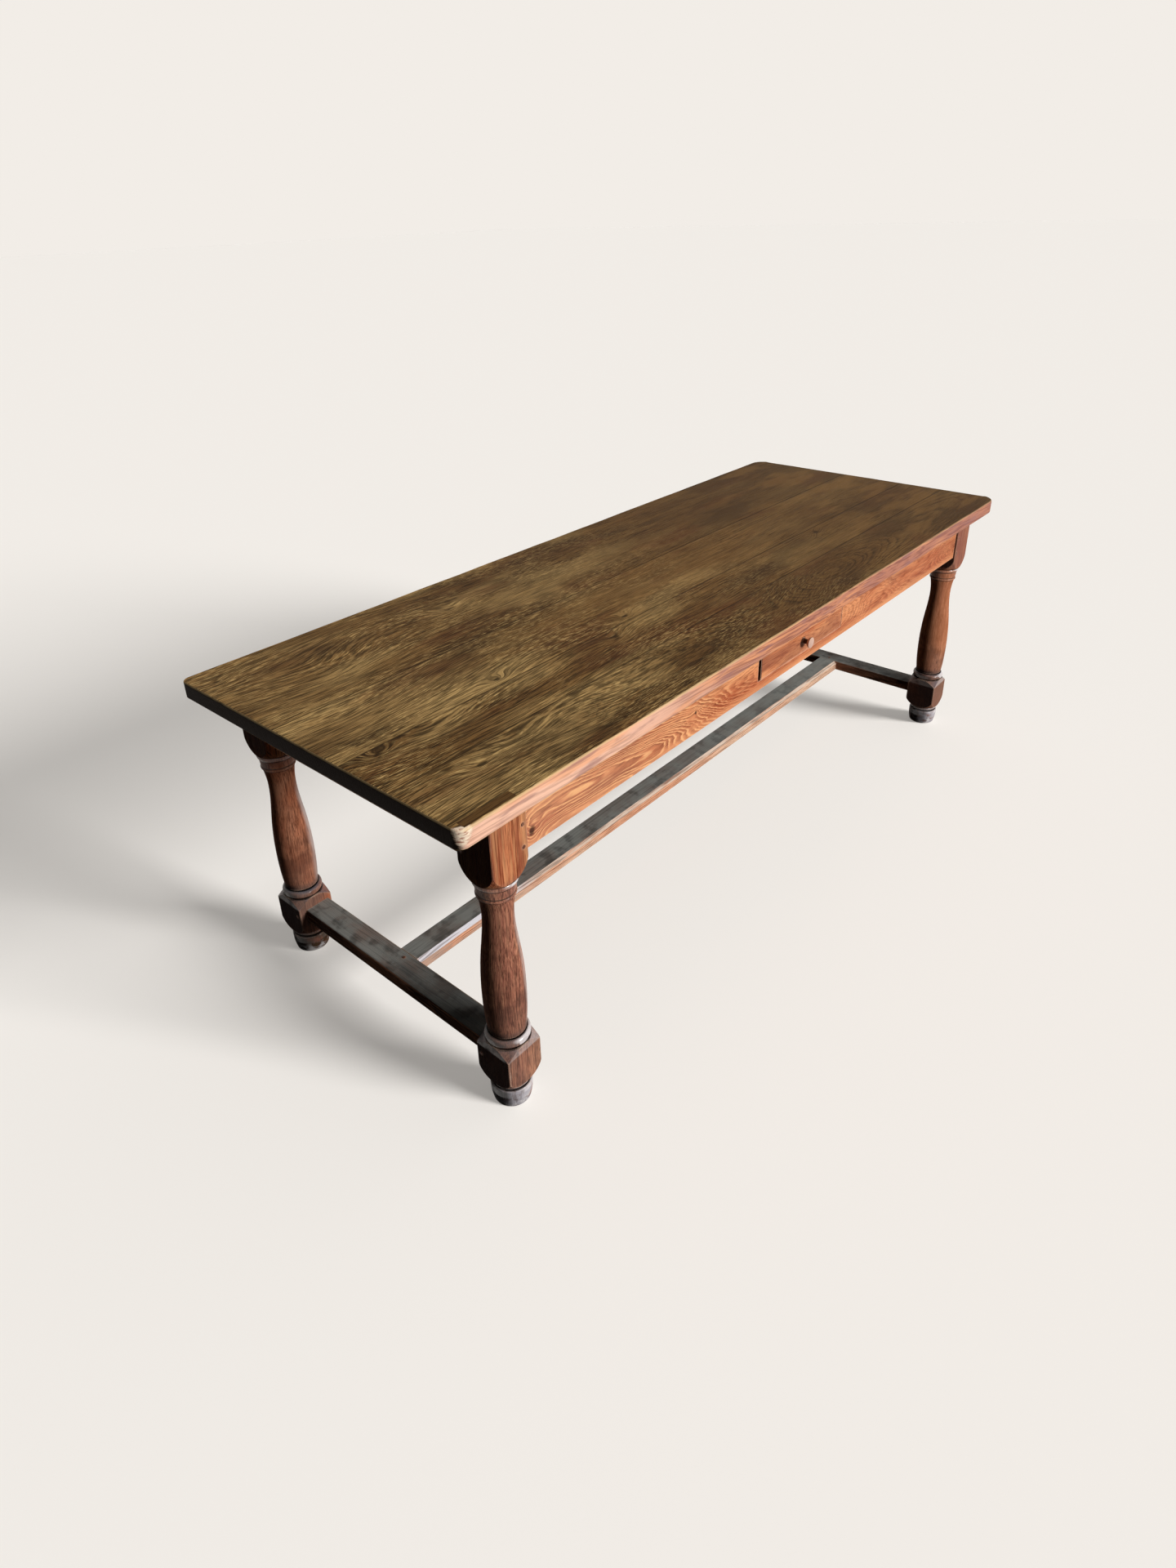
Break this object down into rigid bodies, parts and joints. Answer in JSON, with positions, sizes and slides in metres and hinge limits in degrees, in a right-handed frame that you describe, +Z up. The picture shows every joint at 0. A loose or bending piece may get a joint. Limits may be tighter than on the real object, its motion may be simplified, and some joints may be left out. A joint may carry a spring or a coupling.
{
  "type": "farmhouse table",
  "caption": "Long oak farmhouse table with a planked top, turned baluster legs, low stretchers and a cutlery drawer in the front apron.",
  "frame": {"origin": "on the floor under the middle of the top", "axes": "+X along the table, +Y away from the drawer side, +Z up"},
  "size_m": [2.29, 0.866, 0.76],
  "materials": {
    "top_oak": "dark waxed oak, satin",
    "patch_oak": "darker waxed oak",
    "frame_oak": "red-brown stained oak, satin",
    "leg_oak": "dark red-brown turned oak, satin",
    "stretcher_oak": "worn, dusty dark oak",
    "peg_oak": "dark riven oak",
    "inner_oak": "unfinished oak",
    "drawer_front_oak": "red-brown stained oak, satin",
    "drawer_oak": "unfinished oak",
    "knob_wood": "pale worn turned wood",
    "steel": "dull iron grey"
  },
  "bodies": {
    "table": {"top_front_board": "top_oak", "top_second_board": "top_oak", "top_third_board": "top_oak", "top_back_board": "top_oak", "edge_patch": "patch_oak", "front_apron": "frame_oak", "back_apron": "frame_oak", "left_end_apron": "frame_oak", "right_end_apron": "frame_oak", "leg_front_left": "leg_oak", "leg_front_right": "leg_oak", "leg_back_left": "leg_oak", "leg_back_right": "leg_oak", "left_end_stretcher": "stretcher_oak", "right_end_stretcher": "stretcher_oak", "long_stretcher": "stretcher_oak", "apron_pegs": "peg_oak", "end_stretcher_pegs": "peg_oak", "long_stretcher_pegs": "peg_oak", "board_tongues": "peg_oak", "top_buttons": "inner_oak", "drawer_runner_left": "inner_oak", "drawer_runner_right": "inner_oak", "drawer_guide_left": "inner_oak", "drawer_guide_right": "inner_oak", "drawer_kicker_left": "inner_oak", "drawer_kicker_right": "inner_oak", "drawer_stops": "inner_oak", "button_screws": "steel", "guide_nails": "steel", "kicker_screws": "steel"},
    "drawer": {"drawer_front": "drawer_front_oak", "drawer_left_side": "drawer_oak", "drawer_right_side": "drawer_oak", "drawer_back": "drawer_oak", "drawer_bottom": "drawer_oak", "drawer_bottom_nails": "steel", "drawer_knob": "knob_wood"}
  },
  "joints": [
    {"name": "drawer_slide", "type": "slide", "parent": "table", "child": "drawer", "axis": [0, -1, 0], "range_m": [0, 0.34]}
  ]
}
